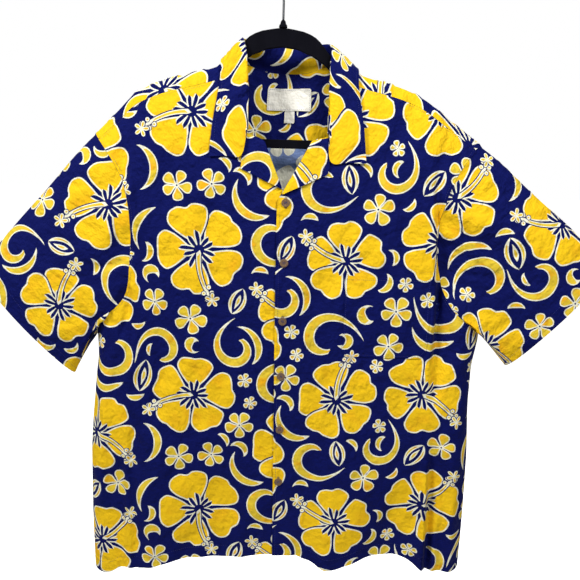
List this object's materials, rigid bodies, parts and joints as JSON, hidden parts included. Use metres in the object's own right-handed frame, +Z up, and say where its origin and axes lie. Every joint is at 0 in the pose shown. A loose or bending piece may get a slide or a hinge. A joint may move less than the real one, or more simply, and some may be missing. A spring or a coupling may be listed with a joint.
{
  "type": "hawaiian shirt on a hanger",
  "caption": "Short-sleeved camp shirt with a floral print, open collar and chest pocket, buttoned and hanging on a slim hanger with a wire hook.",
  "frame": {"origin": "inside top of the hanger's hook, where it bears on a rod", "axes": "+Z up, -Y out of the shirt's front, +X the wearer's left"},
  "size_m": [0.9835, 0.0907, 0.9452],
  "materials": {
    "print_cloth": "matt",
    "label_cloth": "satin",
    "coconut": "satin",
    "flock": "matt",
    "wire": "satin"
  },
  "bodies": {
    "root": {"front_left": "print_cloth", "front_right": "print_cloth", "back": "print_cloth", "yoke": "print_cloth", "yoke_lining": "print_cloth", "collar": "print_cloth", "lapel_left": "print_cloth", "lapel_right": "print_cloth", "sleeve_left": "print_cloth", "sleeve_right": "print_cloth", "pocket": "print_cloth", "label": "label_cloth", "size_tab": "label_cloth", "button_1": "coconut", "button_2": "coconut", "button_3": "coconut", "button_4": "coconut", "button_5": "coconut", "button_6": "coconut", "hanger": "flock", "hook_socket": "flock", "hook": "wire"}
  },
  "joints": []
}
